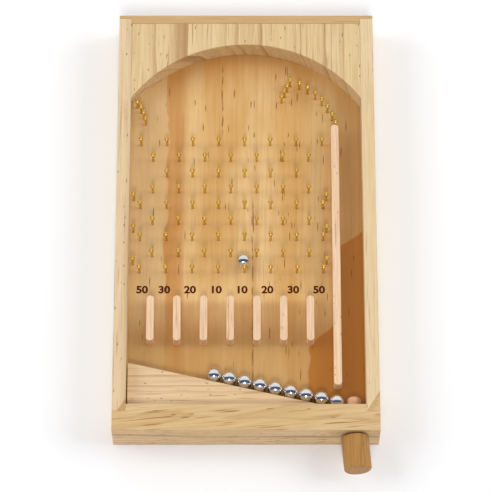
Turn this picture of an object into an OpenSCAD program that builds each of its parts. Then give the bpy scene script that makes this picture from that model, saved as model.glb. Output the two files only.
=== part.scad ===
// Wooden tabletop pachinko board: an open pine tray with an arched top, brass nails, scoring
// pockets, a return ramp, loose chrome balls and a sprung plunger that shoots them up a lane.
//
// Millimetres. The board lies on its back. +Z is up out of the playfield, +Y runs from the
// plunger end to the arch end, and +X is to the player's right. The origin is the centre of the
// case's flat underside. Distances "up the board" are measured from the bottom rail's outer face.

/* [Case] */
// Width over the two side walls
case_w = 192.5; // [188:0.5:200]
// Length over the top and bottom rails
case_l = 333.6; // [330:0.2:345]
// Height of the case from its underside to the rim
case_h = 32.5; // [30:0.5:38]
// Thickness of each side wall
wall_t = 9.7; // [8:0.1:11]
// Thickness of the bottom rail
bottom_rail_t = 19.7; // [18:0.1:24]
// Thickness of the bottom rail where it runs past the side walls' ends
bottom_lap_t = 14.5; // [8:0.1:16]
// Thickness of the top rail
top_rail_t = 6.9; // [5:0.1:9]
// Thickness of the top rail where it laps over the side walls' ends
top_lap_t = 2.5; // [1.5:0.1:4]
// Thickness of the playfield board, which lies flush with the underside
board_t = 15.5; // [12:0.5:16]

/* [Arch] */
// Radius of the sawn arch
arch_r = 105.4; // [98:0.1:108]
// Height of the arch's centre up the board
arch_centre_up = 203.3; // [198:0.1:206]

/* [Nails] */
// Shaft diameter of a nail
nail_d = 1.8; // [1.4:0.1:2.2]
// Diameter of the domed head
nail_head_d = 3.6; // [3:0.1:4]
// Height of the domed head
nail_head_h = 1.25; // [0.8:0.05:1.4]
// How far a nail stands out of the playfield
nail_stand = 12.4; // [10:0.1:14]
// How deep a nail is driven into the board
nail_depth = 9; // [6:0.5:11]
// Height of the top row up the board
top_row_up = 232.5; // [230:0.5:235]
// Distance from one row to the next
row_pitch = 12.93; // [12:0.01:13]
// Distance from one nail to the next in a row
nail_pitch = 19.37; // [18.8:0.01:19.6]
// Distance from the board's centre line to the first nail of a long row
long_row_x = -78.6; // [-79:0.1:-76]
// Distance from the board's centre line to the first nail of a short row
short_row_x = -69.5; // [-71:0.1:-68]

/* [Dividers] */
// Width of a pocket divider
divider_w = 5.6; // [4:0.1:7]
// Length of a pocket divider, over its round ends
divider_l = 35.4; // [30:0.1:38]
// Height of the dividers above the playfield
divider_h = 11.5; // [9:0.1:13]
// Height of the pocket dividers' lower ends up the board
divider_up = 70.6; // [66:0.1:74]
// Distance from the board's centre line to the first pocket divider
first_divider_x = -70; // [-72:0.1:-69]
// Distance from one pocket divider to the next
divider_pitch = 19.5; // [19:0.1:20]
// Width of the lane divider
lane_divider_w = 5.8; // [5:0.1:7]
// Height of the lane divider's lower end up the board
lane_divider_up = 36.3; // [34:0.1:40]
// Height of the lane divider's upper end up the board
lane_divider_top = 244.3; // [240:0.1:244.5]
// Width of the launch lane
lane_w = 17.1; // [15:0.1:18]

/* [Return ramp] */
// Thickness of the ramp above the playfield
ramp_t = 8.8; // [7:0.1:11]
// Height of the ramp's tall end above the bottom rail
ramp_rise = 34.8; // [30:0.1:38]
// Length of the ramp along the bottom rail
ramp_l = 150.8; // [140:0.1:152]
// Gap between the ramp's tall end and the side wall
ramp_gap = 0.7; // [0.2:0.1:2]

/* [Balls] */
// Ball diameter, the standard pachinko size
ball_d = 11; // [10:0.1:11]
// Free space between neighbouring balls on the ramp
ball_gap = 0.4; // [0.3:0.05:1]
// Free space between a ball and what it rests on
rest_gap = 0.15; // [0.1:0.05:0.3]
// Distance from the board's centre line to the lowest ball on the ramp
lowest_ball_x = 65.6; // [64:0.1:66]

/* [Plunger] */
// Diameter of the knob
knob_d = 20; // [16:0.5:21]
// Length of the knob
knob_l = 25.5; // [20:0.5:32]
// Lean of the knob to the side, as its hole is drilled a little askew
knob_lean = 5; // [0:0.5:6]
// Gap between the knob's nearest edge and the bottom rail
knob_gap = 0.6; // [0.4:0.1:2]
// Diameter of the rod through the bottom rail
rod_d = 5; // [4:0.1:6]
// Diameter of the striker
striker_d = 10; // [9:0.1:10]
// Length of the striker
striker_l = 12.5; // [12:0.5:13]
// How far the striker stands out into the lane
striker_stand = 8.8; // [8.5:0.1:9]
// Travel of the plunger when it is pulled
plunger_travel = 8; // [6:0.5:8]
// Wire diameter of the spring
spring_wire_d = 0.6; // [0.5:0.05:0.6]
// Mean diameter of the spring's coils
spring_d = 7.6; // [7:0.1:8]
// Number of turns in the spring
spring_turns = 5; // [4:0.5:5]

/* [Hidden] */
// Number of nail rows, of pocket dividers and of balls on the ramp
row_count = 9;
divider_count = 7;
queue_count = 9;
// Radial clearance where the rod and the striker slide in the bottom rail
slide_fit = 0.08;
// Radial clearance round glued and driven pieces
glue_fit = 0.05;
// Small extra length that makes cuts pass clean through a face
cut = 1;
$fn = 64;

// Inner half-width of the tray
inner_x = case_w / 2 - wall_t;
// Left and right faces of the lane divider
lane_x = inner_x - lane_w;
lane_divider_x = lane_x - lane_divider_w / 2;
// Plunger axis, in the middle of the lane, one ball radius above the playfield
plunger_x = inner_x - lane_w / 2;
plunger_z = board_t + ball_d / 2;
// Ball radius with the gap to what it rests on
ball_reach = ball_d / 2 + rest_gap;
// The ramp's slope
ramp_angle = atan(ramp_rise / ramp_l);
ramp_x = -inner_x + ramp_gap;
// Back face of the striker at rest, up the board
striker_back = bottom_rail_t + striker_stand - striker_l;
// End of the striker's bore, where the spring sits: it keeps some room past the closed spring
spring_spare = 0.5;
bore_end_t = striker_back - plunger_travel - spring_turns * spring_wire_d - spring_spare;
// The leaning knob's nearest edge stands knob_gap from the rail, so its centre is set back more
knob_set_back = knob_gap + knob_d / 2 * sin(knob_lean);
// Depth of the glued sockets in the knob and the striker
knob_socket = 12;
striker_socket = 7;
// Guard nails beside the walls, two rows apart
guard_count = 3;
guard_up = 187.4;
guard_inset = 3;
lane_guard_inset = 4;

// Y of a place given as its height up the board
function y_at(up) = up - case_l / 2;

// Points of an arc round a centre, from one angle to another
function arc(centre, r, from, to, steps) =
    [for (i = [0:steps]) let (a = from + (to - from) * i / steps) centre + r * [cos(a), sin(a)]];

// ---- Case ----

// A board with square edges, given by two opposite corners
module board(low, high) {
    translate(low) cube(high - low);
}

// A side wall between the laps of the two rails; side is -1 for left and 1 for right
module side_wall(side) {
    low_x = side < 0 ? -case_w / 2 : inner_x;
    board([low_x, y_at(bottom_lap_t), 0], [low_x + wall_t, y_at(case_l - top_lap_t), case_h]);
}

// A rail whose ends are rabbeted, so that its inner part fits between the side walls
module rabbeted_rail(outer_up, lap_up, inner_up) {
    linear_extrude(case_h)
        polygon([
            [-case_w / 2, y_at(outer_up)], [case_w / 2, y_at(outer_up)],
            [case_w / 2, y_at(lap_up)], [inner_x, y_at(lap_up)],
            [inner_x, y_at(inner_up)], [-inner_x, y_at(inner_up)],
            [-inner_x, y_at(lap_up)], [-case_w / 2, y_at(lap_up)]
        ]);
}

module left_side_wall() {
    color("#e3c99b") side_wall(-1);
}

module right_side_wall() {
    color("#ecd2a6") side_wall(1);
}

module top_rail() {
    color("#d3ae7a") rabbeted_rail(case_l, case_l - top_lap_t, case_l - top_rail_t);
}

// The bottom rail, with a stepped bore along the plunger's axis
module bottom_rail() {
    color("#dcc094")
        difference() {
            rabbeted_rail(0, bottom_lap_t, bottom_rail_t);
            along_plunger(-cut) cylinder(d = rod_d + 2 * slide_fit, h = bottom_rail_t);
            along_plunger(bore_end_t) cylinder(d = striker_d + 2 * slide_fit, h = bottom_rail_t);
        }
}

module playfield_board() {
    color("#d4a76a")
        difference() {
            board([-inner_x, y_at(bottom_rail_t), 0], [inner_x, y_at(case_l - top_rail_t), board_t]);
            for (p = all_nails())
                translate([p.x, y_at(p.y), board_t - nail_depth])
                    cylinder(d = nail_d + 2 * glue_fit, h = nail_depth + cut, $fn = 24);
        }
}

// The block that fills the top of the tray, with the arch sawn out of it
module arch_block() {
    color("#ecd2a6")
        difference() {
            board([-inner_x, y_at(arch_centre_up), board_t], [inner_x, y_at(case_l - top_rail_t), case_h]);
            translate([0, y_at(arch_centre_up), board_t - cut])
                cylinder(r = arch_r, h = case_h - board_t + 2 * cut, $fn = 180);
        }
}

// ---- Pieces on the playfield ----

// A strip standing on the playfield, with a half-round at each end
module round_ended_strip(x, low_up, high_up, w) {
    translate([x, 0, board_t])
        linear_extrude(divider_h)
            union() {
                translate([-w / 2, y_at(low_up) + w / 2]) square([w, high_up - low_up - w]);
                translate([0, y_at(low_up) + w / 2]) circle(d = w);
                translate([0, y_at(high_up) - w / 2]) circle(d = w);
            }
}

// Pocket divider number i, counted from 1 at the left
module pocket_divider(i) {
    color("#efd3b5")
        round_ended_strip(first_divider_x + (i - 1) * divider_pitch,
                          divider_up, divider_up + divider_l, divider_w);
}

module lane_divider() {
    color("#efd3b5")
        round_ended_strip(lane_divider_x, lane_divider_up, lane_divider_top, lane_divider_w);
}

// A wedge that lies on the playfield along the bottom rail and falls towards the lane
module return_ramp() {
    color("#e6c6a0")
        translate([ramp_x, y_at(bottom_rail_t), board_t])
            linear_extrude(ramp_t) polygon([[0, 0], [ramp_l, 0], [0, ramp_rise]]);
}

// ---- Nails ----

// Rows are counted from 1 at the top. Odd rows are long and even rows are short, and they are
// staggered. The third row leaves out its outermost nails, where the upper guard nails stand.
function row_nails(row) =
    let (long = row % 2 == 1,
         left_out = row == 3 ? 1 : 0,
         first = long ? long_row_x : short_row_x,
         last = (long ? 7 : 6) - left_out,
         up = top_row_up - (row - 1) * row_pitch)
    [for (i = [left_out:last]) [first + i * nail_pitch, up]];

// A column of guard nails at one X, one for every second row
function guard_nails(x) = [for (i = [0:guard_count - 1]) [x, guard_up - 2 * i * row_pitch]];
function left_guards() = guard_nails(-inner_x + guard_inset);
function right_guards() = guard_nails(lane_x - lane_divider_w - lane_guard_inset);

// Four nails that curve down from the arch's left foot
function top_left_group() = arc([-105, 244.5], 30, 40, 10, 3);
// Four nails in a slanting line, right of the top of the arch
function top_right_line() = [for (i = [0:3]) [33.4, 281.8] - i * [2.13, 4.5]];
// Seven nails that curve from there down to the head of the lane divider
function top_right_curve() = arc([16.5, 232.5], 52.8, 63, 15.6, 6);

function all_nails() = concat(
    [for (row = [1:row_count]) each row_nails(row)],
    left_guards(), right_guards(), top_left_group(), top_right_line(), top_right_curve()
);

// One round-head nail, with z = 0 at the playfield's surface
module nail() {
    point_h = nail_d;
    head_r = (pow(nail_head_d / 2, 2) + pow(nail_head_h, 2)) / (2 * nail_head_h);
    translate([0, 0, -nail_depth]) cylinder(d1 = 0, d2 = nail_d, h = point_h, $fn = 24);
    translate([0, 0, point_h - nail_depth])
        cylinder(d = nail_d, h = nail_depth - point_h + nail_stand - nail_head_h, $fn = 24);
    // The head is the cap of a ball
    translate([0, 0, nail_stand - nail_head_h])
        intersection() {
            cylinder(d = nail_head_d + cut, h = nail_head_h + cut, $fn = 32);
            translate([0, 0, nail_head_h - head_r]) sphere(r = head_r, $fn = 32);
        }
}

// A group of nails at places given as [x, height up the board]
module nails(places) {
    color("#c99a2e")
        for (p = places)
            translate([p.x, y_at(p.y), board_t]) nail();
}

// ---- Plunger ----

// Turns a shape that stands on z = 0 to lie along the plunger's axis, towards the arch
module along_plunger(up) {
    translate([plunger_x, y_at(up), plunger_z]) rotate([-90, 0, 0]) children();
}

// A turned dowel with rounded rims: r and length, with the rim radius at each end
module dowel(d, l, near_rim, far_rim) {
    r = d / 2;
    rotate_extrude()
        polygon(concat(
            [[0, 0]], arc([r - near_rim, near_rim], near_rim, -90, 0, 6),
            arc([r - far_rim, l - far_rim], far_rim, 0, 90, 6), [[0, l]]
        ));
}

module plunger_knob() {
    color("#b5854a")
        difference() {
            translate([plunger_x, y_at(-knob_set_back), plunger_z])
                rotate([90, 0, knob_lean]) dowel(knob_d, knob_l, 1, 2.2);
            along_plunger(-knob_set_back - knob_socket)
                cylinder(d = rod_d + 2 * glue_fit, h = knob_socket + knob_set_back);
        }
}

// The rod, glued into the knob's socket and the striker's
module plunger_rod() {
    color("#dcc094")
        along_plunger(-knob_set_back - knob_socket)
            cylinder(d = rod_d, h = knob_set_back + knob_socket + striker_back + striker_socket);
}

module striker() {
    color("#dba986")
        difference() {
            along_plunger(striker_back) dowel(striker_d, striker_l, 0.5, 2.5);
            along_plunger(striker_back - cut)
                cylinder(d = rod_d + 2 * glue_fit, h = striker_socket + cut);
        }
}

// The compression spring between the counterbore's end and the striker, swept along a helix
module plunger_spring() {
    wire_sides = 8;
    rings_per_turn = 16;
    end_gap = 0.05;
    rings = spring_turns * rings_per_turn;
    wire_r = spring_wire_d / 2;
    rise = striker_back - bore_end_t - spring_wire_d - 2 * end_gap;
    points = [
        for (i = [0:rings])
            let (a = 360 * i / rings_per_turn, z = end_gap + wire_r + rise * i / rings)
            for (j = [0:wire_sides - 1])
                let (b = 360 * j / wire_sides, r = spring_d / 2 + wire_r * cos(b))
                [r * cos(a), r * sin(a), z + wire_r * sin(b)]
    ];
    sides = [
        for (i = [0:rings - 1])
            for (j = [0:wire_sides - 1])
                let (k = (j + 1) % wire_sides, low = i * wire_sides, high = low + wire_sides)
                [low + j, high + j, high + k, low + k]
    ];
    first_end = [for (j = [0:wire_sides - 1]) j];
    last_end = [for (j = [wire_sides - 1:-1:0]) rings * wire_sides + j];
    color("silver")
        along_plunger(bore_end_t)
            polyhedron(points = points, faces = concat(sides, [first_end], [last_end]));
}

// ---- Balls ----

// Centre of ball number i, as [x, height up the board]. Ball 1 is the highest on the ramp and
// ball 9 has rolled down to the bottom rail. Ball 10 leans on a nail of the lowest row.
function ball_place(i) =
    i > queue_count
        ? let (post = row_nails(row_count)[4], side = -0.8, reach = ball_reach + nail_d / 2)
          post + [side, sqrt(reach * reach - side * side)]
        : let (back = (queue_count - i) * (ball_d + ball_gap))
          [lowest_ball_x, bottom_rail_t + ball_reach] + back * [-cos(ramp_angle), sin(ramp_angle)];

module ball(i) {
    place = ball_place(i);
    color("#d8dce0")
        translate([place.x, y_at(place.y), board_t + ball_reach]) sphere(d = ball_d, $fn = 64);
}

// ---- Assembly ----

playfield_board();
left_side_wall();
right_side_wall();
top_rail();
bottom_rail();
arch_block();
return_ramp();
lane_divider();
for (i = [1:divider_count])
    pocket_divider(i);
for (i = [1:row_count])
    nails(row_nails(i));
nails(left_guards());  // left_guard_nails
nails(right_guards());  // right_guard_nails
nails(top_left_group());  // top_left_nails
nails(top_right_line());  // top_right_inner_nails
nails(top_right_curve());  // top_right_arc_nails
plunger_knob();
plunger_rod();
striker();
plunger_spring();
for (i = [1:queue_count + 1])
    ball(i);
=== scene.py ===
"""Looks of a wooden tabletop pachinko board: pine case, golden playfield, brass nails, chrome balls.

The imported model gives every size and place. This script finishes it: eased wooden boards with
solid grain, turned nails, knob and striker, a coiled spring and the printed score numbers.
"""
import math
import random

import bmesh
import bpy
from bpy.props import FloatProperty, FloatVectorProperty, IntProperty, PointerProperty
from mathutils import Matrix, Vector


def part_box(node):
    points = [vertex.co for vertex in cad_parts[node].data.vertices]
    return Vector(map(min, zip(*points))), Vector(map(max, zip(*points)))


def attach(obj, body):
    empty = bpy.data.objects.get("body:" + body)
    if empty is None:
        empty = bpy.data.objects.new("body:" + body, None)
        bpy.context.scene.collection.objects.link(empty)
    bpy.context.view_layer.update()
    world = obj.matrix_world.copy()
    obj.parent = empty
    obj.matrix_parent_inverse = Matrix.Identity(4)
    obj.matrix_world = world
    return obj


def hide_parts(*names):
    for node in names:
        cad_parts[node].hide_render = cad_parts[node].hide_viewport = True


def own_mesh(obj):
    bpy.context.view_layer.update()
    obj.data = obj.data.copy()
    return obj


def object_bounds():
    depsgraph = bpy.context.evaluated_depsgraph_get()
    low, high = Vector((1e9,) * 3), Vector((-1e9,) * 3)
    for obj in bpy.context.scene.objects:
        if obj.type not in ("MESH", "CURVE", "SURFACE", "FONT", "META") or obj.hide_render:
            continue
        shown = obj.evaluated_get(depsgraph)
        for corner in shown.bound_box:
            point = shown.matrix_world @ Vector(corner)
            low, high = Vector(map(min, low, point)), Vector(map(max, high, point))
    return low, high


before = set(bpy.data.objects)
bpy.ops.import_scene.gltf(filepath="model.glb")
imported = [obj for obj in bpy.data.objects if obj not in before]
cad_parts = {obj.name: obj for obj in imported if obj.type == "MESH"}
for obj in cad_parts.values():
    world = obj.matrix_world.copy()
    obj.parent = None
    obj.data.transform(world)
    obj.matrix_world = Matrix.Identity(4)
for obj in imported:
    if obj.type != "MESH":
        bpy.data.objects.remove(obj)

bl_info = {
    "name": "Tabletop Pachinko Board",
    "version": (1, 0, 0),
    "blender": (4, 5, 0),
    "location": "View3D > Sidebar > Pachinko",
    "description": "Finishes a wooden tabletop pachinko board around its packed model",
    "category": "Object",
}

CAD_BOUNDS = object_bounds()
MM = 0.001
PER_METRE = 1000.0
# Corners of a CAD mesh that lie closer than this are one corner
WELD = 0.002 * MM
# Two flat faces that meet at less than this lie in one plane
FLAT_ANGLE = math.radians(0.3)
# Height of a digit in the built-in font, as a share of the text's size
CAP_SHARE = 0.70
# An edge turns a corner where its faces meet at more than this
CORNER_ANGLE = math.radians(32)
# How far up a log, in mm, one seed's board lies from the next one's
SEED_STEP = 97.0

NODE_NAMES = sorted(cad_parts)
DIVIDER_NODES = tuple(n for n in NODE_NAMES if n.startswith("pocket_divider_"))
NAIL_NODES = tuple(n for n in NODE_NAMES if n.endswith("_nails") or n.startswith("nail_row_"))
BALL_NODES = tuple(n for n in NODE_NAMES if n.startswith("ball_"))
SCORES = ("50", "30", "20", "10", "10", "20", "30", "50")

# Where the playfield's wood changes, in mm: across is X, and up is from the board's lower end
# Width of the sapwood stripe along the left wall, and how far the orange band reaches beyond it
STRIPE_WIDTH, BAND_REACH = 26.5, 24.0
# Duller wood comes in between these, and painted shade darkens the lane between these
DULL_ACROSS, LANE_SHADE_ACROSS = (30.0, 62.0), (60.0, 80.0)
# Painted shade, warmed as by light bounced off the arch, comes in under the arch, and painted shade of
# the dividers below the pockets
ARCH_SHADE_AND_BOUNCE_UP, POCKET_SHADE_UP = (245.0, 292.0), (78.0, 56.0)
# The heartwood's edge lies this far across at the bottom, and leans out over each stretch of the way up
HEART_ACROSS = 46.0
HEART_LEANS = ((48.0, 72.0, 20.0), (122.0, 146.0, 24.0))
# Dark lines where the board has checked along the grain: across, and up to where they start and end
CHECKS = ((-17.8, 223.0, 279.0), (4.9, 20.0, 166.0))

# The patch scarfed to each side wall's lower end: the two sides of its face in mm, and its colour
SCARFS = {
    "left_side_wall": ((-6.1, 9.3), "#b88c56"),
    "right_side_wall": ((-9.4, 15.5), "#c39b66"),
}


# ---- Small tools ----


def linear(hex_colour):
    """An sRGB hex value as the linear colour that shaders take."""
    parts = [int(hex_colour[i:i + 2], 16) / 255 for i in (1, 3, 5)]
    return tuple(c / 12.92 if c <= 0.04045 else ((c + 0.055) / 1.055) ** 2.4 for c in parts)


def settings():
    return bpy.context.scene.pachinko_board


def centre_of(node):
    low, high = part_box(node)
    return (low + high) / 2


def add_object(name, mesh, body, *nodes):
    """Puts a finished mesh in the scene as a piece that rides on a body and stands for CAD nodes."""
    piece = bpy.data.objects.new(name, mesh)
    bpy.context.scene.collection.objects.link(piece)
    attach(piece, body)
    if nodes:
        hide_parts(*nodes)
    return piece


def coat(piece, material):
    """Gives a piece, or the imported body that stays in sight, its one material."""
    piece.data.materials.clear()
    piece.data.materials.append(material)


def finish_piece(piece, material):
    coat(piece, material)


def mesh_from(bm, name):
    mesh = bpy.data.meshes.new(name)
    bm.to_mesh(mesh)
    bm.free()
    return mesh


def welded(node):
    """A bmesh copy of a CAD node, with its loose triangles merged and its flat faces made whole."""
    bm = bmesh.new()
    bm.from_mesh(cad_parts[node].data)
    bmesh.ops.remove_doubles(bm, verts=bm.verts, dist=WELD)
    bmesh.ops.dissolve_limit(bm, angle_limit=FLAT_ANGLE, verts=bm.verts, edges=bm.edges)
    return bm


def turns_corner(edge):
    return len(edge.link_faces) == 2 and edge.calc_face_angle(0.0) > CORNER_ANGLE


def eased_copy(node, ease, name):
    """A copy of a CAD node whose sharp edges are rounded as sandpaper leaves them."""
    bm = welded(node)
    corners = [e for e in bm.edges if turns_corner(e)]
    rounded = bmesh.ops.bevel(
        bm, geom=corners, offset=ease, offset_type="OFFSET", segments=2, profile=0.5,
        affect="EDGES", clamp_overlap=True, material=-1,
    )
    strips = set(rounded["faces"])
    for face in bm.faces:
        face.smooth = True
    # The shading breaks where a rounded strip meets a flat face
    for edge in bm.edges:
        in_strip = {face in strips for face in edge.link_faces}
        edge.smooth = len(in_strip) == 1
    return mesh_from(bm, name)


def eased_piece(node, ease, body, material):
    """Makes, places and finishes the eased copy that stands for a CAD node."""
    name = "eased_" + node
    piece = add_object(name, eased_copy(node, ease, name), body, node)
    finish_piece(piece, material)


def lathe(bm, profile, steps, place):
    """Spins a profile of (radius, distance along Z) points round Z and moves the result to a place."""
    verts = [bm.verts.new((radius, 0.0, along)) for radius, along in profile]
    edges = [bm.edges.new(pair) for pair in zip(verts, verts[1:])]
    bmesh.ops.spin(
        bm, geom=verts + edges, cent=(0, 0, 0), axis=(0, 0, 1), angle=math.tau,
        steps=steps, use_merge=True,
    )
    bmesh.ops.remove_doubles(bm, verts=bm.verts, dist=WELD)
    bmesh.ops.recalc_face_normals(bm, faces=bm.faces)
    bmesh.ops.transform(bm, matrix=place, verts=bm.verts)
    for face in bm.faces:
        face.smooth = True


def arc(centre, radius, start, end, steps):
    """Points of an arc in the profile plane, from one angle to another in degrees."""
    angles = [math.radians(start + (end - start) * i / steps) for i in range(steps + 1)]
    return [(centre[0] + radius * math.cos(a), centre[1] + radius * math.sin(a)) for a in angles]


# ---- Materials ----


def add_node(tree, kind, inputs=None, **attributes):
    """Adds a shader node with its settings and links.

    An input is a value to set, a socket to link, or a node, whose first output is linked.
    """
    node = tree.nodes.new(kind)
    for name, value in attributes.items():
        setattr(node, name, value)
    for key, value in (inputs or {}).items():
        if isinstance(value, bpy.types.Node):
            value = value.outputs[0]
        if isinstance(value, bpy.types.NodeSocket):
            tree.links.new(value, node.inputs[key])
        elif node.inputs[key].type == "RGBA":
            node.inputs[key].default_value = (*value, 1.0)
        else:
            node.inputs[key].default_value = value
    return node


def share(tree, *spans):
    """A factor: how far some values have gone between two numbers each, all multiplied together.

    A span is a value, the two numbers, and what it gives at each of them, if not 0 and 1.
    """
    product = None
    for value, low, high, *gives in spans:
        least, most = gives or (0.0, 1.0)
        part = add_node(
            tree, "ShaderNodeMapRange",
            {"Value": value, "From Min": low, "From Max": high, "To Min": least, "To Max": most},
            interpolation_type="SMOOTHSTEP",
        )
        if product is not None:
            part = add_node(tree, "ShaderNodeMath", {0: product, 1: part}, operation="MULTIPLY")
        product = part
    return product


def tinted(tree, colour, tint, *spans):
    """A colour that turns to a tint, given in hex, by the share of some spans."""
    mix = {0: share(tree, *spans), 6: colour, 7: linear(tint)}
    return add_node(tree, "ShaderNodeMix", mix, data_type="RGBA").outputs[2]


def new_material(name):
    material = bpy.data.materials.new(name)
    material.use_nodes = True
    tree = material.node_tree
    tree.nodes.clear()
    shader = add_node(tree, "ShaderNodeBsdfPrincipled")
    add_node(tree, "ShaderNodeOutputMaterial", {"Surface": shader})
    return material, tree, shader


class Wood:
    """How one kind of board looks. Lengths are in millimetres and colours are sRGB hex."""

    def __init__(self, **values):
        # Earlywood, latewood, the broad tone patches, the resin canals and the cut end grain
        self.early, self.late, self.tone = "#e6cfa2", "#c79f68", "#dcbf8c"
        self.fleck, self.end = "#7a5a34", "#d8b98c"
        # Degrees that the grain turns from +Y, and the pith's place beside and below the board
        self.turn, self.pith = 0.0, (60.0, -90.0)
        # Growth ring width, and how far and over what length the rings wander
        self.ring, self.wander, self.wander_over = 6.0, 5.0, 45.0
        # Shares from 0 to 1: latewood lines, tone patches, fibres, thin threads and darkened ends
        self.lines, self.patches, self.fibres, self.threads, self.ends = 0.7, 0.5, 0.3, 0.5, 0.5
        # Resin canals: how dark they are, the share of places that hold one, their width and length
        self.flecks, self.fleck_share, self.fleck_w, self.fleck_l = 0.5, 0.2, 0.6, 3.2
        # Veins with many canals: each one's place across the board, its width and its share
        self.veins = ()
        self.roughness, self.relief, self.seed = 0.6, 0.12, 0.0
        for name, value in values.items():
            setattr(self, name, value)


def grain_space(tree, wood, centre):
    """Coordinates in millimetres with Y along the grain and the pith at X = Z = 0."""
    turn = math.radians(-wood.turn)
    turned = Matrix.Rotation(turn, 3, "Z") @ (centre * PER_METRE)
    place = (-turned.x + wood.pith[0], -turned.y + wood.seed * SEED_STEP, -turned.z - wood.pith[1])
    seen = add_node(tree, "ShaderNodeTexCoord").outputs["Object"]
    return add_node(tree, "ShaderNodeMapping", {
        "Vector": seen, "Location": place, "Rotation": (0.0, 0.0, turn), "Scale": (PER_METRE,) * 3,
    })


def in_millimetres(tree):
    """Coordinates on a piece in millimetres, on the model's own axes."""
    scale = {0: add_node(tree, "ShaderNodeTexCoord").outputs["Object"], 1: (PER_METRE,) * 3}
    return add_node(tree, "ShaderNodeVectorMath", scale, operation="MULTIPLY")


def drawn_noise(tree, grain, stretch, scale, detail=2.0, roughness=0.5):
    """Noise drawn out along the grain; stretch is the width of its marks over their length."""
    drawn = {0: grain, 1: (1.0, stretch, 1.0)}
    return add_node(tree, "ShaderNodeTexNoise", {
        "Vector": add_node(tree, "ShaderNodeVectorMath", drawn, operation="MULTIPLY"),
        "Scale": scale, "Detail": detail, "Roughness": roughness,
    })


def swing(tree, value, size):
    """A noise value as a length that swings round 0."""
    centred = add_node(tree, "ShaderNodeMath", {0: value, 1: 0.5}, operation="SUBTRACT")
    return add_node(tree, "ShaderNodeMath", {0: centred, 1: size}, operation="MULTIPLY")


def stray(tree, along, scale, size, detail=2.0):
    """How far a line strays to either side on its way along."""
    wander = {"W": along, "Scale": scale, "Detail": detail}
    wander = add_node(tree, "ShaderNodeTexNoise", wander, noise_dimensions="1D")
    return swing(tree, wander, size)


def rings(tree, wood, grain):
    """Growth rings of a log cut lengthwise, from 0 in the pale wood to 1 at the dark line's edge."""
    flat = add_node(tree, "ShaderNodeVectorMath", {0: grain, 1: (1.0, 0.0, 1.0)}, operation="MULTIPLY")
    radius = add_node(tree, "ShaderNodeVectorMath", {0: flat}, operation="LENGTH").outputs["Value"]
    # The trunk was never quite round: a broad wander, and a small unevenness every few millimetres
    wander = swing(tree, drawn_noise(tree, grain, 0.10, 1.0 / wood.wander_over), wood.wander * 4)
    uneven = swing(tree, drawn_noise(tree, grain, 0.10, 0.22, 3.0), 1.4)
    for part in (wander, uneven):
        radius = add_node(tree, "ShaderNodeMath", {0: radius, 1: part}, operation="ADD")
    years = add_node(tree, "ShaderNodeMath", {0: radius, 1: wood.ring}, operation="DIVIDE")
    # Good and bad years: the rings are wide in places and crowded in others
    crowd = stray(tree, years, 0.23, 5.0, 3.0)
    years = add_node(tree, "ShaderNodeMath", {0: years, 1: crowd}, operation="ADD")
    ramp = add_node(tree, "ShaderNodeValToRGB", {
        "Fac": add_node(tree, "ShaderNodeMath", {0: years}, operation="FRACT"),
    })
    # Pale spring wood darkens slowly to summer wood, which ends at a sharp edge
    stops = ((0.0, 0.9), (0.05, 0.05), (0.5, 0.1), (0.8, 0.5), (0.93, 1.0), (1.0, 0.9))
    while len(ramp.color_ramp.elements) < len(stops):
        ramp.color_ramp.elements.new(0.5)
    for element, (place, value) in zip(ramp.color_ramp.elements, stops):
        element.position = place
        element.color = (value, value, value, 1.0)
    # Some years leave a faint line and some a strong one
    year = add_node(tree, "ShaderNodeTexNoise", {"W": years, "Scale": 0.6}, noise_dimensions="1D")
    strength = share(tree, (year, 0.34, 0.64, 0.2, 1.0))
    return add_node(tree, "ShaderNodeMath", {0: ramp, 1: strength}, operation="MULTIPLY")


def canals(tree, wood, grain):
    """Resin canals: short dark dashes along the grain, crowded in the board's veins."""
    # Each cell holds one canal at most, near its middle
    cell_w, cell_l = wood.fleck_w * 3.6, wood.fleck_l * 2.4
    cells = {0: grain, 1: (1.0 / cell_w, 1.0 / cell_l, 1.0 / cell_w)}
    cells = add_node(tree, "ShaderNodeVectorMath", cells, operation="MULTIPLY")
    bent = {0: cells, 1: drawn_noise(tree, grain, 1.0 / 6.0, 0.3)}
    voronoi = add_node(tree, "ShaderNodeTexVoronoi", {
        "Vector": add_node(tree, "ShaderNodeVectorMath", bent, operation="ADD"),
        "Scale": 1.0, "Randomness": 1.0,
    })
    across, along = add_node(tree, "ShaderNodeSeparateXYZ", {0: grain}).outputs[:2]
    held = wood.fleck_share
    for place, width, crowd in wood.veins:
        middle = {0: across, 1: wood.pith[0] + place}
        off = add_node(tree, "ShaderNodeMath", middle, operation="SUBTRACT")
        bend = stray(tree, along, 0.03, width * 0.8)
        off = add_node(tree, "ShaderNodeMath", {0: off, 1: bend}, operation="ADD")
        off = add_node(tree, "ShaderNodeMath", {0: off}, operation="ABSOLUTE")
        inside = share(tree, (off, width * 0.6, width * 0.35, 0.0, crowd))
        held = add_node(tree, "ShaderNodeMath", {0: inside, 1: held}, operation="ADD")
    # A cell holds a canal where its own random number and the share of held cells reach 1
    random_red = add_node(tree, "ShaderNodeSeparateColor", {0: voronoi.outputs["Color"]})
    chosen = add_node(tree, "ShaderNodeMath", {0: random_red, 1: held}, operation="ADD")
    chosen = add_node(tree, "ShaderNodeMath", {0: chosen, 1: 1.0}, operation="GREATER_THAN")
    near = share(tree, (voronoi.outputs["Distance"], 0.24, 0.12))
    return add_node(tree, "ShaderNodeMath", {0: chosen, 1: near}, operation="MULTIPLY")


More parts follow.
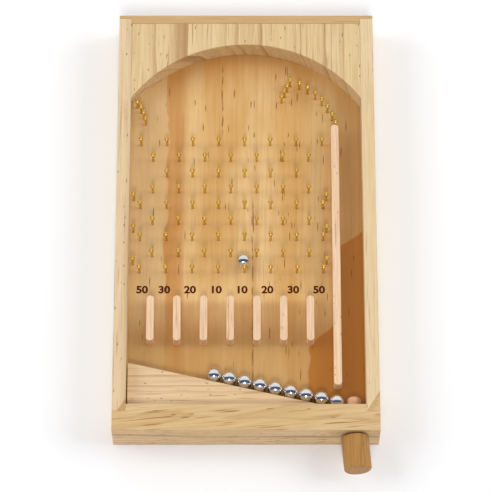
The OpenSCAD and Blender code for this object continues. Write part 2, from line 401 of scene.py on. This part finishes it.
def end_share(tree, wood):
    """How squarely the surface cuts across the grain, from 0 to the board's share of darkened ends."""
    turn = math.radians(wood.turn)
    along = (-math.sin(turn), math.cos(turn), 0.0)
    normal = add_node(tree, "ShaderNodeNewGeometry").outputs["Normal"]
    dot = add_node(tree, "ShaderNodeVectorMath", {0: normal, 1: along}, operation="DOT_PRODUCT")
    across = add_node(tree, "ShaderNodeMath", {0: dot.outputs["Value"]}, operation="ABSOLUTE")
    return share(tree, (across, 0.35, 0.95, 0.0, wood.ends))


def wood_colour(tree, wood, grain):
    """The layered colour of a board, and the height of its relief."""
    line = rings(tree, wood, grain)
    drawn = add_node(tree, "ShaderNodeMath", {0: line, 1: wood.lines}, operation="MULTIPLY")
    mix = {0: drawn, 6: linear(wood.early), 7: linear(wood.late)}
    colour = add_node(tree, "ShaderNodeMix", mix, data_type="RGBA").outputs[2]
    # Tone patches some 30 mm wide and four times as long
    broad = drawn_noise(tree, grain, 0.22, 0.035, 3.0)
    colour = tinted(tree, colour, wood.tone, (broad, 0.40, 0.66, 0.0, wood.patches))
    # Fibres, drawn thirty times as long as they are wide, and coarser than real ones so that they show
    fibre = drawn_noise(tree, grain, 0.03, 0.7, 4.0, 0.75)
    colour = tinted(tree, colour, wood.late, (fibre, 0.40, 0.70, 0.0, wood.fibres))
    # Thin dark threads that gather in loose groups
    thread = drawn_noise(tree, grain, 0.03, 0.8, 1.0)
    group = drawn_noise(tree, grain, 0.15, 0.06, 1.0)
    colour = tinted(
        tree, colour, wood.late, (thread, 0.62, 0.70), (group, 0.38, 0.62, 0.0, wood.threads))
    if wood.ends:
        mix = {0: end_share(tree, wood), 6: colour, 7: linear(wood.end)}
        ends = add_node(tree, "ShaderNodeMix", mix, data_type="RGBA", blend_type="MULTIPLY")
        colour = ends.outputs[2]
    raised = add_node(tree, "ShaderNodeMath", {0: fibre, 1: 0.6}, operation="MULTIPLY")
    sunk = add_node(tree, "ShaderNodeMath", {0: line, 1: 0.5}, operation="MULTIPLY")
    return colour, add_node(tree, "ShaderNodeMath", {0: raised, 1: sunk}, operation="SUBTRACT")


def finish_wood(tree, shader, wood, grain, colour, height):
    """Draws the canals over a board's colour and sets up its surface."""
    dark = {0: canals(tree, wood, grain), 1: wood.flecks}
    dash = add_node(tree, "ShaderNodeMath", dark, operation="MULTIPLY")
    mix = {0: dash, 6: colour, 7: linear(wood.fleck)}
    colour = add_node(tree, "ShaderNodeMix", mix, data_type="RGBA").outputs[2]
    tree.links.new(colour, shader.inputs["Base Color"])
    shader.inputs["Roughness"].default_value = wood.roughness
    shader.inputs["Specular IOR Level"].default_value = 0.35
    bump = add_node(tree, "ShaderNodeBump", {
        "Height": height, "Strength": wood.relief, "Distance": 0.12 * MM,
    })
    tree.links.new(bump.outputs[0], shader.inputs["Normal"])


def wood_material(name, wood, centre):
    material, tree, shader = new_material(name)
    grain = grain_space(tree, wood, centre)
    colour, height = wood_colour(tree, wood, grain)
    finish_wood(tree, shader, wood, grain, colour, height)
    return material


def scarfed(tree, colour, corner, legs, tint):
    """A corner of a wall's face where another piece of timber is scarfed in on a slant.

    corner is the X and Y of the corner in metres, and legs are the signed lengths of its two sides
    in millimetres.
    """
    seen = in_millimetres(tree)
    split = add_node(tree, "ShaderNodeSeparateXYZ", {0: seen})
    shares = []
    for i in (0, 1):
        from_corner = {0: split.outputs[i], 1: corner[i] * PER_METRE}
        away = add_node(tree, "ShaderNodeMath", from_corner, operation="SUBTRACT")
        shares.append(add_node(tree, "ShaderNodeMath", {0: away, 1: legs[i]}, operation="DIVIDE"))
    # The two shares add up to 1 along the slanted joint
    reach = add_node(tree, "ShaderNodeMath", dict(enumerate(shares)), operation="ADD")
    uneven = add_node(tree, "ShaderNodeTexNoise", {"Vector": seen, "Scale": 0.5, "Detail": 3.0})
    stripes = {0: reach, 1: 0.5, 2: uneven}
    stripes = add_node(tree, "ShaderNodeMath", stripes, operation="MULTIPLY_ADD")
    return tinted(tree, colour, tint, (reach, 1.03, 0.97), (stripes, 0.6, 1.1, 0.5, 0.95))


def case_material(node, wood):
    """Planed pine board of the case. A side wall also has a slanted patch scarfed to its lower end."""
    material, tree, shader = new_material("Planed pine, " + node.replace("_", " "))
    grain = grain_space(tree, wood, centre_of(node))
    colour, height = wood_colour(tree, wood, grain)
    if node in SCARFS:
        low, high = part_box(node)
        legs, tint = SCARFS[node]
        colour = scarfed(tree, colour, (high.x, low.y), legs, tint)
    finish_wood(tree, shader, wood, grain, colour, height)
    return material


def planed_pine():
    """Bare planed pine for the case's five boards: pale, with crisp brown summer lines and short
    resin canals. Every board has its own stretch of log and its own tone."""
    return {
        "left_side_wall": Wood(
            early="#e6cea8", late="#b18a58", tone="#dabd90", pith=(7.0, -42.0), ring=4.6, wander=1.8,
            lines=0.6, threads=0.6, flecks=0.75, fleck_share=0.10, veins=((1.6, 2.0, 0.75),),
            fleck_w=0.6, fleck_l=2.6, fleck="#5f4630", seed=1.0),
        "right_side_wall": Wood(
            early="#e7d0a8", late="#b68d58", tone="#dec492", pith=(12.0, -55.0), ring=5.0, wander=3.0,
            lines=0.6, threads=0.6, flecks=0.5, fleck_share=0.06, seed=2.3),
        "top_rail": Wood(
            early="#d2b080", late="#a57745", tone="#c6a070", turn=90.0, pith=(5.0, -50.0), ring=3.0,
            wander=1.6, lines=0.5, flecks=0.3, fleck_share=0.05, seed=3.1),
        "bottom_rail": Wood(
            early="#dec396", late="#a26a31", tone="#d0af79", fleck="#8a5422", turn=95.5,
            pith=(3.0, -26.0), ring=4.2, wander=4.0, wander_over=30.0, lines=0.8, threads=0.9,
            flecks=0.75, fleck_share=0.28, fleck_w=0.6, fleck_l=5.5, seed=4.7),
        "arch_block": Wood(
            early="#e5cc9e", late="#a27446", tone="#dcbf8b", pith=(95.0, -40.0), ring=9.0, wander=3.0,
            lines=0.85, threads=0.7, flecks=0.8, fleck_share=0.13, fleck_w=0.5, fleck_l=3.2,
            veins=((-84.5, 2.5, 0.6), (-73.0, 3.0, 0.5), (-63.5, 2.5, 0.5), (20.0, 14.0, 0.2)),
            fleck="#66492c", end="#ecdcc0", ends=0.4, seed=5.4),
    }


def checked(tree, colour, across, along, up):
    """Thin broken dark lines where the board has checked along the grain."""
    for line_across, low_up, high_up in CHECKS:
        line = {0: stray(tree, along, 0.05, 3.0), 1: line_across}
        line = add_node(tree, "ShaderNodeMath", line, operation="ADD")
        off = add_node(tree, "ShaderNodeMath", {0: across, 1: line}, operation="SUBTRACT")
        off = add_node(tree, "ShaderNodeMath", {0: off}, operation="ABSOLUTE")
        gaps = {"W": along, "Scale": 0.09}
        gaps = add_node(tree, "ShaderNodeTexNoise", gaps, noise_dimensions="1D")
        colour = tinted(
            tree, colour, "#7a4f22", (off, 0.75, 0.25), (up, low_up - 8.0, low_up + 8.0),
            (up, high_up + 8.0, high_up - 8.0), (gaps, 0.35, 0.6, 0.0, 0.8))
    return colour


def playfield_material(centre):
    """Clear-varnished pine board: golden, with a pale stripe at the left, an orange band beside it,
    crowded resin canals right of the middle and a flame of brown heartwood at the lower right."""
    wood = Wood(
        early="#e5c188", late="#b37c39", tone="#d0a05c", fleck="#824a14", pith=(150.0, -50.0),
        ring=15.0, wander=4.0, lines=0.36, patches=0.85, fibres=0.3, threads=0.22, flecks=0.85,
        fleck_share=0.14, fleck_w=0.6, fleck_l=8.0,
        veins=((31.0, 18.0, 0.9), (54.0, 12.0, 0.5), (4.0, 8.0, 0.35), (-30.0, 12.0, 0.15)),
        ends=0.0, roughness=0.42, relief=0.08, seed=6.26)
    material, tree, shader = new_material("Varnished pine, playfield")
    grain = grain_space(tree, wood, centre)
    colour, height = wood_colour(tree, wood, grain)
    split = add_node(tree, "ShaderNodeSeparateXYZ", {0: in_millimetres(tree)})
    across, along = split.outputs[:2]
    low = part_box("playfield_board")[0] * PER_METRE
    bend = stray(tree, along, 0.022, 14.0, 3.0)
    place = add_node(tree, "ShaderNodeMath", {0: across, 1: bend}, operation="SUBTRACT")
    up = add_node(tree, "ShaderNodeMath", {0: along, 1: low.y}, operation="SUBTRACT")
    # Sapwood stripe along the left wall with a crisp wandering edge, and the streaky band beyond it
    edge = low.x + STRIPE_WIDTH
    colour = tinted(tree, colour, "#d3b07c", (place, edge + 0.6, edge - 0.6, 0.0, 0.5))
    streaks = drawn_noise(tree, grain, 0.06, 0.16)
    colour = tinted(
        tree, colour, "#bd7a34", (place, edge, edge + 1.5, 0.0, 0.62),
        (place, edge + BAND_REACH, edge + 5.0), (streaks, 0.3, 0.62, 0.45, 1.0))
    colour = tinted(tree, colour, "#b98f52", (place, *DULL_ACROSS, 0.0, 0.4))
    # Painted shade in the narrow lane between the lane divider and the right wall
    colour = tinted(tree, colour, "#a87334", (place, *LANE_SHADE_ACROSS, 0.0, 0.5))
    # Painted shade and warm bounce light under the arch
    colour = tinted(tree, colour, "#b5782f", (up, *ARCH_SHADE_AND_BOUNCE_UP, 0.0, 0.7))
    # Painted shade of the dividers below the pockets
    colour = tinted(tree, colour, "#b1803f", (up, *POCKET_SHADE_UP, 0.0, 0.6))
    colour = checked(tree, colour, across, along, up)
    heart = HEART_ACROSS
    for start, end, lean in HEART_LEANS:
        leans = {0: heart, 1: share(tree, (up, start, end, 0.0, lean))}
        heart = add_node(tree, "ShaderNodeMath", leans, operation="ADD")
    past = add_node(tree, "ShaderNodeMath", {0: place, 1: heart}, operation="SUBTRACT")
    colour = tinted(tree, colour, "#ad690c", (past, -0.8, 0.8, 0.0, 0.85))
    finish_wood(tree, shader, wood, grain, colour, height)
    shader.inputs["Coat Weight"].default_value = 0.1
    shader.inputs["Coat Roughness"].default_value = 0.3
    return material


def ramp_material(centre):
    """Bare pine wedge: pinkish beige with lines that run across the board."""
    return wood_material("Planed pine, ramp", Wood(
        early="#e6caa1", late="#a77d54", tone="#d9b68a", fleck="#80592f", turn=90.0, pith=(30.0, -22.0),
        ring=3.6, wander=1.8, lines=0.6, threads=0.75, flecks=0.8, fleck_share=0.16, fleck_l=2.2,
        veins=((-10.0, 3.0, 0.5),), ends=0.3, seed=7.7), centre)


def divider_material(centre):
    """Sanded beech strip: pale pink-beige, close and even, with fine short rays."""
    return wood_material("Sanded beech strip", Wood(
        early="#f0d3b2", late="#c9976c", tone="#e6c39c", fleck="#8f6238", pith=(40.0, -30.0), ring=2.6,
        wander=1.5, lines=0.45, fibres=0.5, threads=0.7, flecks=0.7, fleck_share=0.16, fleck_w=0.45,
        fleck_l=2.6, end="#d8ae84", seed=8.8), centre)


def knob_material(centre):
    """Oiled hardwood dowel: olive brown with straight close grain."""
    return wood_material("Oiled beech dowel, knob", Wood(
        early="#b6884b", late="#8a5c28", tone="#a7783d", fleck="#6f4522", pith=(24.0, -10.0), ring=2.6,
        wander=1.0, lines=0.5, fibres=0.5, threads=0.5, flecks=0.4, fleck_share=0.1, end="#f0d0b4",
        ends=0.2, roughness=0.5, seed=9.1), centre)


def striker_material(centre):
    """Sanded hardwood dowel: pinkish, with a plain end."""
    return wood_material("Sanded beech dowel, striker", Wood(
        early="#e6b892", late="#bd875c", tone="#dba87c", fleck="#8b5a3a", pith=(14.0, -12.0), ring=2.4,
        wander=1.0, lines=0.4, fibres=0.35, flecks=0.2, end="#f0d4bc", ends=0.2, seed=3.9), centre)


def metal_material(name, scale, detail, colours, colour_span, roughness_span):
    """A metal whose colour and polish change a little from mark to mark.

    The spans are those of share(), without the value, which is the noise that lays out the marks.
    """
    material, tree, shader = new_material(name)
    marks = add_node(tree, "ShaderNodeTexNoise", {
        "Vector": in_millimetres(tree), "Scale": scale, "Detail": detail,
    })
    first, second = colours
    colour = tinted(tree, linear(first), second, (marks, *colour_span))
    tree.links.new(colour, shader.inputs["Base Color"])
    polish = share(tree, (marks, *roughness_span))
    tree.links.new(polish.outputs[0], shader.inputs["Roughness"])
    shader.inputs["Metallic"].default_value = 1.0
    return material


def brass_material():
    """Drawn and headed brass: bright yellow metal, a little uneven where the header struck it."""
    return metal_material(
        "Bright brass nail", 1.3, 3.0, ("#ffe27a", "#e2b73e"), (0.35, 0.7), (0.3, 0.7, 0.36, 0.46))


def chrome_material():
    """Polished chrome plate on a steel ball: a mirror with faint haze from handling."""
    return metal_material(
        "Polished chrome ball", 0.5, 3.0, ("#eef0f3", "#dfe2e6"), (0.4, 0.75), (0.4, 0.75, 0.03, 0.11))


def spring_material():
    """Drawn spring steel wire: grey, with fine draw marks."""
    return metal_material(
        "Drawn spring steel", 4.0, 2.0, ("#b9bcc0", "#8e9196"), (0.3, 0.7), (0.3, 0.7, 0.24, 0.4))


def ink_material():
    """Pad-printed ink on wood: dark red-brown, thinner where the fibres show through."""
    material, tree, shader = new_material("Red-brown printing ink")
    wear = drawn_noise(tree, in_millimetres(tree), 0.3, 1.6, 4.0)
    colour = tinted(tree, linear("#4b0e03"), "#632a10", (wear, 0.45, 0.75, 0.0, 0.6))
    tree.links.new(colour, shader.inputs["Base Color"])
    shader.inputs["Roughness"].default_value = 0.7
    shader.inputs["Specular IOR Level"].default_value = 0.2
    return material


# ---- Settings ----


class PachinkoBoardSettings(bpy.types.PropertyGroup):
    """Sizes and colours that a user would change."""

    edge_ease: FloatProperty(
        name="Edge ease", description="Width of the sanded rounding on the case's edges",
        default=0.45 * MM, min=0.1 * MM, max=1.0 * MM, subtype="DISTANCE", unit="LENGTH")
    strip_ease: FloatProperty(
        name="Strip ease", description="Width of the sanded rounding on the dividers and the ramp",
        default=0.35 * MM, min=0.1 * MM, max=1.0 * MM, subtype="DISTANCE", unit="LENGTH")
    nail_lean: FloatProperty(
        name="Nail lean", description="Most that a hand-driven nail leans",
        default=math.radians(1.3), min=0.0, max=math.radians(3.0), subtype="ANGLE", unit="ROTATION")
    number_height: FloatProperty(
        name="Number height", description="Height of the printed score numbers",
        default=5.5 * MM, min=3.0 * MM, max=8.0 * MM, subtype="DISTANCE", unit="LENGTH")
    number_stretch: FloatProperty(
        name="Number stretch", description="How much wider than the built-in font the numbers are",
        default=1.12, min=0.8, max=1.4, subtype="FACTOR")
    number_pitch: FloatProperty(
        name="Number pitch", description="Distance between the printed score numbers",
        default=19.0 * MM, min=17.0 * MM, max=20.0 * MM, subtype="DISTANCE", unit="LENGTH")
    nail_faces: IntProperty(
        name="Nail faces", description="Faces round a turned nail", default=20, min=8, max=32)
    floor_colour: FloatVectorProperty(
        name="Floor", description="Colour of the plain floor", subtype="COLOR", size=3,
        default=linear("#fafcff"), min=0.0, max=1.0)


# ---- Pieces ----


class PACHINKO_OT_case(bpy.types.Operator):
    """Makes the case's five boards, with eased edges and their own grain"""

    bl_idname = "pachinko.case"
    bl_label = "Case"

    def execute(self, context):
        for node, wood in planed_pine().items():
            eased_piece(node, settings().edge_ease, "cabinet", case_material(node, wood))
        return {"FINISHED"}


class PACHINKO_OT_playfield(bpy.types.Operator):
    """Varnishes the playfield board"""

    bl_idname = "pachinko.playfield"
    bl_label = "Playfield"

    def execute(self, context):
        coat(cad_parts["playfield_board"], playfield_material(centre_of("playfield_board")))
        return {"FINISHED"}


class PACHINKO_OT_strips(bpy.types.Operator):
    """Makes the return ramp, the lane divider and the pocket dividers"""

    bl_idname = "pachinko.strips"
    bl_label = "Ramp and dividers"

    def execute(self, context):
        ease = settings().strip_ease
        pine = ramp_material(centre_of("return_ramp"))
        eased_piece("return_ramp", ease, "cabinet", pine)
        beech = divider_material(centre_of("lane_divider"))
        for node in ("lane_divider", *DIVIDER_NODES):
            eased_piece(node, ease, "cabinet", beech)
        return {"FINISHED"}


def nail_places(node):
    """Foot-line X and Y of every nail in a CAD group, from the group's separate solids."""
    bm = welded(node)
    left = set(bm.verts)
    places = []
    while left:
        queue = [left.pop()]
        island = list(queue)
        while queue:
            for edge in queue.pop().link_edges:
                for vert in edge.verts:
                    if vert in left:
                        left.discard(vert)
                        queue.append(vert)
                        island.append(vert)
        middle = [(min(v.co[i] for v in island) + max(v.co[i] for v in island)) / 2 for i in (0, 1)]
        places.append(tuple(middle))
    bm.free()
    return sorted(places)


def nail_profile(depth, stand):
    """Half outline of a round-head nail with z = 0 at the wood: point, shaft, neck and domed head."""
    shaft_r, head_r, head_h, point_l = 0.9 * MM, 1.8 * MM, 1.25 * MM, 1.8 * MM
    # The dome is the cap of a sphere, whose rim lies at this angle from its middle plane
    dome_r = (head_r ** 2 + head_h ** 2) / (2 * head_h)
    rim = math.degrees(math.asin((dome_r - head_h) / dome_r))
    neck = stand - head_h
    shaft = [(0.0, -depth), (shaft_r, -depth + point_l), (shaft_r, neck - 0.3 * MM)]
    under_head = [(shaft_r + 0.15 * MM, neck - 0.08 * MM), (head_r - 0.25 * MM, neck),
                  (head_r - 0.04 * MM, neck + 0.05 * MM)]
    dome = arc((0.0, stand - dome_r), dome_r, rim + 3.0, 90.0, 7)
    return shaft + under_head + dome[:-1] + [(0.0, stand)]


class PACHINKO_OT_nails(bpy.types.Operator):
    """Turns the round-head nails, each with a slight lean of its own"""

    bl_idname = "pachinko.nails"
    bl_label = "Brass nails"

    def execute(self, context):
        brass = brass_material()
        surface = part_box("playfield_board")[1].z
        hand = random.Random(11)
        for node in NAIL_NODES:
            low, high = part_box(node)
            profile = nail_profile(surface - low.z, high.z - surface)
            group = bmesh.new()
            for x, y in nail_places(node):
                one = bmesh.new()
                lean = hand.uniform(0.2, 1.0) * settings().nail_lean
                way = hand.uniform(0.0, math.tau)
                tilt = Matrix.Rotation(lean, 4, Vector((math.cos(way), math.sin(way), 0.0)))
                place = Matrix.Translation((x, y, surface)) @ tilt
                lathe(one, profile, settings().nail_faces, place)
                part = mesh_from(one, "nail")
                group.from_mesh(part)
                bpy.data.meshes.remove(part)
            name = "turned_" + node
            piece = add_object(name, mesh_from(group, name), "cabinet", node)
            finish_piece(piece, brass)
        return {"FINISHED"}


def number_mesh(text, height, stretch):
    """Flat digits as a thin mesh, centred on the origin, with their bold strokes."""
    curve = bpy.data.curves.new("score", "FONT")
    curve.body = text
    curve.size = height / CAP_SHARE
    curve.align_x, curve.align_y = "CENTER", "CENTER"
    curve.offset = 0.05 * height
    curve.space_character = 0.98
    curve.extrude = 0.02 * MM
    curve.resolution_u = 6
    holder = bpy.data.objects.new("score", curve)
    bpy.context.scene.collection.objects.link(holder)
    bpy.context.view_layer.update()
    flat = holder.evaluated_get(bpy.context.evaluated_depsgraph_get())
    mesh = bpy.data.meshes.new_from_object(flat)
    mesh.transform(Matrix.Diagonal((stretch, 1.0, 1.0, 1.0)))
    bpy.data.objects.remove(holder)
    bpy.data.curves.remove(curve)
    return mesh


class PACHINKO_OT_numbers(bpy.types.Operator):
    """Prints the score numbers above the pockets"""

    bl_idname = "pachinko.numbers"
    bl_label = "Score numbers"

    def execute(self, context):
        ink = ink_material()
        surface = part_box("playfield_board")[1].z
        first, second = (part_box(node) for node in DIVIDER_NODES[:2])
        above, aside = 8.7 * MM, 6.6 * MM
        y = first[1].y + above
        # The first number is printed close to the first divider, and the rest keep one pitch from
        # the middle of the next pocket on
        first_x = (first[0].x + first[1].x) / 2 - aside
        second_x = (first[1].x + second[0].x) / 2
        for i, text in enumerate(SCORES):
            x = first_x if i == 0 else second_x + (i - 1) * settings().number_pitch
            name = f"score_number_{i + 1}"
            mesh = number_mesh(text, settings().number_height, settings().number_stretch)
            mesh.transform(Matrix.Translation((x, y, surface + 0.03 * MM)))
            mesh.name = name
            finish_piece(add_object(name, mesh, "cabinet"), ink)
        return {"FINISHED"}


class PACHINKO_OT_balls(bpy.types.Operator):
    """Polishes the chrome balls"""

    bl_idname = "pachinko.balls"
    bl_label = "Chrome balls"

    def execute(self, context):
        chrome = chrome_material()
        for node in BALL_NODES:
            coat(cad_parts[node], chrome)
        return {"FINISHED"}


class PACHINKO_OT_plunger(bpy.types.Operator):
    """Makes the knob and the striker, and finishes the rod and the spring between them"""

    bl_idname = "pachinko.plunger"
    bl_label = "Plunger"

    def execute(self, context):
        knob_ease, striker_ease = 0.2 * MM, 0.15 * MM
        oiled = knob_material(centre_of("plunger_knob"))
        eased_piece("plunger_knob", knob_ease, "plunger", oiled)
        sanded = striker_material(centre_of("striker"))
        eased_piece("striker", striker_ease, "plunger", sanded)
        coat(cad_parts["plunger_rod"], sanded)
        self.coil_spring()
        return {"FINISHED"}

    def coil_spring(self):
        """Sweeps a round wire along a screw between the spring's two ends."""
        low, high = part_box("plunger_spring")
        middle = (low + high) / 2
        length = high.y - low.y
        wire_r, turns, sides, rings_per_turn = 0.3 * MM, 5, 10, 20
        coil_r = (high.x - low.x) / 2 - wire_r
        steps = turns * rings_per_turn
        rise = (length - 2 * wire_r) / steps
        bm = bmesh.new()
        place = Matrix.Translation((middle.x + coil_r, low.y + wire_r, middle.z))
        bmesh.ops.create_circle(bm, cap_ends=True, radius=wire_r, segments=sides, matrix=place)
        bmesh.ops.spin(bm, geom=bm.verts[:] + bm.edges[:] + bm.faces[:], cent=middle, axis=(0, 1, 0),
                       angle=math.tau * turns, steps=steps, dvec=(0.0, rise, 0.0), use_merge=False)
        bmesh.ops.remove_doubles(bm, verts=bm.verts, dist=WELD)
        bmesh.ops.recalc_face_normals(bm, faces=bm.faces)
        for face in bm.faces:
            face.smooth = True
        name = "coiled_plunger_spring"
        spring = add_object(name, mesh_from(bm, name), "cabinet", "plunger_spring")
        finish_piece(spring, spring_material())
        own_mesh(spring)


# ---- Stage ----


def soft_sun(name, place, strength, spread, colour="#ffffff", seen=True):
    """A wide, distant light from a direction, so that the floor is lit evenly; spread in degrees."""
    light = bpy.data.lights.new(name, "SUN")
    light.energy = strength
    light.angle = math.radians(spread)
    light.color = linear(colour)
    holder = bpy.data.objects.new(name, light)
    bpy.context.scene.collection.objects.link(holder)
    holder.location = place
    holder.rotation_euler = (-Vector(place)).to_track_quat("-Z", "Y").to_euler()
    holder.visible_glossy = seen


class PACHINKO_OT_stage(bpy.types.Operator):
    """Sets the floor, the soft lights and the camera"""

    bl_idname = "pachinko.stage"
    bl_label = "Stage"

    def execute(self, context):
        scene = context.scene
        scene.view_settings.view_transform = "Standard"
        self.lay_floor(scene)
        self.hang_lights(scene)
        self.place_camera(scene)
        return {"FINISHED"}

    def lay_floor(self, scene):
        bm = bmesh.new()
        level = Matrix.Translation((0.0, 0.0, CAD_BOUNDS[0].z - 0.1 * MM))
        bmesh.ops.create_grid(bm, x_segments=1, y_segments=1, size=12.0, matrix=level)
        floor = bpy.data.objects.new("floor", mesh_from(bm, "floor"))
        scene.collection.objects.link(floor)
        material, tree, shader = new_material("Matt white paper floor")
        shader.inputs["Base Color"].default_value = (*settings().floor_colour, 1.0)
        shader.inputs["Roughness"].default_value = 0.9
        floor.data.materials.append(material)

    def hang_lights(self, scene):
        soft_sun("key", (0.0, -1.1, 1.4), 1.0, 15.0, "#fff9ef")
        for side, name in ((-1.0, "left fill"), (1.0, "right fill")):
            soft_sun(name, (side, 0.05, 0.72), 1.0, 34.0, seen=False)
        world = bpy.data.worlds.new("studio")
        scene.world = world
        world.use_nodes = True
        tree = world.node_tree
        tree.nodes.clear()
        # A white room with a darker, bluish strip of ceiling from wall to wall
        way = add_node(tree, "ShaderNodeTexCoord").outputs["Generated"]
        forward, upward = add_node(tree, "ShaderNodeSeparateXYZ", {0: way}).outputs[1:]
        room = tinted(tree, linear("#55617a"), "#fff9f0", (forward, 0.10, 0.26))
        room = tinted(tree, room, "#c2c3c6", (forward, -0.42, -0.56))
        room = tinted(tree, room, "#a2a4a8", (upward, 0.30, 0.10))
        # Behind the floor the camera sees plain white
        seen = add_node(tree, "ShaderNodeLightPath").outputs["Is Camera Ray"]
        strength = 0.9
        mix = {0: seen, 6: room, 7: (0.99 / strength,) * 3}
        colour = add_node(tree, "ShaderNodeMix", mix, data_type="RGBA").outputs[2]
        ground = add_node(tree, "ShaderNodeBackground", {"Color": colour, "Strength": strength})
        add_node(tree, "ShaderNodeOutputWorld", {"Surface": ground})

    def place_camera(self, scene):
        case_low, case_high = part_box("bottom_rail")[0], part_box("top_rail")[1]
        middle = (case_low + case_high) / 2
        middle.z = CAD_BOUNDS[1].z
        # How far the view leans back from straight down, and the frame's width over its distance
        tilt, spread = math.radians(23.0), 0.18
        # Share of the frame's width that the case fills, and how far its middle is above the frame's
        fill, lift = 0.530, 0.061
        distance = (case_high.x - case_low.x) / (fill * spread)
        look = Vector((0.0, math.sin(tilt), -math.cos(tilt)))
        up = Vector((0.0, math.cos(tilt), math.sin(tilt)))
        data = bpy.data.cameras.new("camera")
        data.sensor_width = 36.0
        data.lens = data.sensor_width / spread
        camera = bpy.data.objects.new("camera", data)
        scene.collection.objects.link(camera)
        camera.location = middle - look * distance - up * (distance * spread * lift)
        camera.rotation_euler = look.to_track_quat("-Z", "Y").to_euler()
        data.clip_start, data.clip_end = 0.01, 60.0
        scene.camera = camera


OPERATORS = (
    PACHINKO_OT_case, PACHINKO_OT_playfield, PACHINKO_OT_strips, PACHINKO_OT_nails,
    PACHINKO_OT_numbers, PACHINKO_OT_balls, PACHINKO_OT_plunger, PACHINKO_OT_stage,
)


class PACHINKO_PT_panel(bpy.types.Panel):
    """Lists the board's sizes and the steps that make it"""

    bl_idname = "PACHINKO_PT_panel"
    bl_label = "Pachinko Board"
    bl_space_type = "VIEW_3D"
    bl_region_type = "UI"
    bl_category = "Pachinko"

    def draw(self, context):
        for name in PachinkoBoardSettings.__annotations__:
            self.layout.prop(context.scene.pachinko_board, name)
        for operator in OPERATORS:
            self.layout.operator(operator.bl_idname)


CLASSES = (PachinkoBoardSettings, *OPERATORS, PACHINKO_PT_panel)


def register():
    for cls in CLASSES:
        bpy.utils.register_class(cls)
    bpy.types.Scene.pachinko_board = PointerProperty(type=PachinkoBoardSettings)


def unregister():
    del bpy.types.Scene.pachinko_board
    for cls in reversed(CLASSES):
        bpy.utils.unregister_class(cls)


def main():
    register()
    for operator in OPERATORS:
        group, name = operator.bl_idname.split(".")
        getattr(getattr(bpy.ops, group), name)()


if __name__ == "__main__":
    main()
